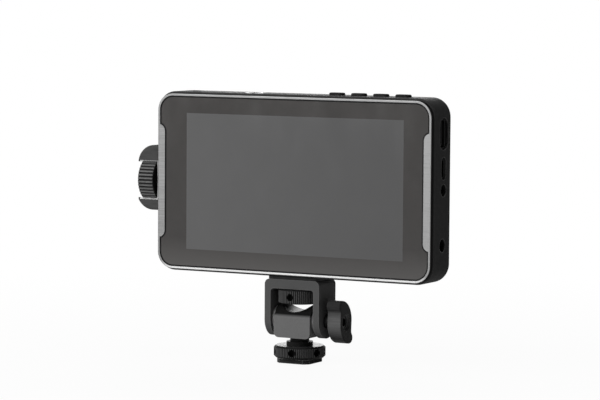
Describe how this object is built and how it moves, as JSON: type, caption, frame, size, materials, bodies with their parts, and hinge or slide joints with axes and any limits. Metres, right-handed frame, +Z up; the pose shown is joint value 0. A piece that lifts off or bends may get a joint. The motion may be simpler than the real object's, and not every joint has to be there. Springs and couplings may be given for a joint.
{
  "type": "camera field monitor",
  "caption": "On-camera field monitor with glass front, bright frame, side dial, top keys and side ports, on a tilting cold-shoe yoke bracket with clamp lever and knurled wheels.",
  "frame": {"origin": "centre of the shoe plate's bottom face, on the stud axis", "axes": "+X to the right of the screen, +Y from the screen to its back, +Z up"},
  "size_m": [0.1673, 0.0297, 0.1347],
  "materials": {
    "black_aluminium": "bead blasted, black anodised",
    "grey_aluminium": "bead blasted, dark grey anodised",
    "silver_trim": "fine satin",
    "steel": "turned",
    "bright_steel": "polished",
    "brass": "turned",
    "case_plastic": "fine texture",
    "knob_plastic": "satin",
    "rubber": "matt",
    "screen_glass": "coated",
    "panel": "dull",
    "white_plastic": "plain",
    "plate_aluminium": "plain sheet",
    "board": "solder mask",
    "port_metal": "plated",
    "port_plastic": "plain",
    "contact_brass": "plated"
  },
  "bodies": {
    "shoe": {"shoe_plate": "black_aluminium", "shoe_stud": "steel"},
    "monitor": {"front_frame": "silver_trim", "glass_gasket": "rubber", "cover_glass": "screen_glass", "lcd_panel": "panel", "backlight": "white_plastic", "mid_plate": "plate_aluminium", "rear_housing": "case_plastic", "dial_guard": "case_plastic", "encoder_body": "port_metal", "encoder_nut": "steel", "main_board": "board", "processor_chip": "port_plastic", "thermal_block": "plate_aluminium", "hdmi_socket": "port_metal", "usb_socket": "port_metal", "audio_socket": "port_plastic", "dc_socket": "port_plastic", "display_ribbon": "port_plastic", "ribbon_connector": "white_plastic", "key_board": "board", "key_switches": "port_plastic", "power_board": "board", "power_switch": "port_plastic", "bottom_insert": "steel", "top_insert": "steel", "battery_plate": "case_plastic", "battery_contacts": "contact_brass", "plate_screws": "steel", "case_screws": "steel", "board_screws": "steel"},
    "lock": {"lock_wheel": "black_aluminium"},
    "base": {"tilt_block": "grey_aluminium", "swivel_ring": "brass"},
    "yoke": {"yoke": "grey_aluminium", "yoke_pad": "rubber", "friction_washers": "knob_plastic", "pivot_bolt": "steel", "lever_washer": "steel"},
    "lever": {"clamp_lever": "knob_plastic", "lever_insert": "steel"},
    "mount": {"thumb_wheel": "black_aluminium", "mount_screw": "bright_steel"},
    "plunger": {"encoder_plunger": "port_plastic"},
    "dial": {"encoder_shaft": "steel", "dial_knob": "knob_plastic", "dial_cap": "knob_plastic"},
    "key_1": {"top_key_1": "knob_plastic"},
    "key_2": {"top_key_2": "knob_plastic"},
    "key_3": {"top_key_3": "knob_plastic"},
    "key_4": {"top_key_4": "knob_plastic"},
    "power": {"power_key": "knob_plastic"},
    "latch": {"battery_latch": "knob_plastic"}
  },
  "joints": [
    {"name": "lock_turn", "type": "hinge", "parent": "shoe", "child": "lock", "pos_m": [0, 0, 0.00555], "axis": [0, 0, 1], "continuous": true},
    {"name": "pan", "type": "hinge", "parent": "shoe", "child": "base", "pos_m": [0, 0, 0.014], "axis": [0, 0, 1], "continuous": true},
    {"name": "tilt", "type": "hinge", "parent": "base", "child": "yoke", "pos_m": [0, 0, 0.0214], "axis": [1, 0, 0], "range_deg": [-45, 45]},
    {"name": "lever_turn", "type": "hinge", "parent": "yoke", "child": "lever", "pos_m": [0.022, 0, 0.0214], "axis": [1, 0, 0], "range_deg": [0, 270]},
    {"name": "mount_turn", "type": "hinge", "parent": "yoke", "child": "mount", "pos_m": [0, 0, 0.0325], "axis": [0, 0, 1], "continuous": true},
    {"name": "monitor_swivel", "type": "hinge", "parent": "yoke", "child": "monitor", "pos_m": [0, 0, 0.0439], "axis": [0, 0, 1], "continuous": true},
    {"name": "dial_push", "type": "slide", "parent": "monitor", "child": "plunger", "axis": [1, 0, 0], "range_m": [0, 0.0006], "stiffness_N_per_m": 4000},
    {"name": "dial_turn", "type": "hinge", "parent": "plunger", "child": "dial", "pos_m": [-0.084, 0, 0.0881], "axis": [1, 0, 0], "continuous": true},
    {"name": "key_1_press", "type": "slide", "parent": "monitor", "child": "key_1", "axis": [0, 0, -1], "range_m": [0, 0.0005], "stiffness_N_per_m": 1500},
    {"name": "key_2_press", "type": "slide", "parent": "monitor", "child": "key_2", "axis": [0, 0, -1], "range_m": [0, 0.0005], "stiffness_N_per_m": 1500},
    {"name": "key_3_press", "type": "slide", "parent": "monitor", "child": "key_3", "axis": [0, 0, -1], "range_m": [0, 0.0005], "stiffness_N_per_m": 1500},
    {"name": "key_4_press", "type": "slide", "parent": "monitor", "child": "key_4", "axis": [0, 0, -1], "range_m": [0, 0.0005], "stiffness_N_per_m": 1500},
    {"name": "power_press", "type": "slide", "parent": "monitor", "child": "power", "axis": [0, 0, -1], "range_m": [0, 0.0005], "stiffness_N_per_m": 1500},
    {"name": "latch_press", "type": "slide", "parent": "monitor", "child": "latch", "axis": [0, -1, 0], "range_m": [0, 0.0016], "stiffness_N_per_m": 700}
  ]
}
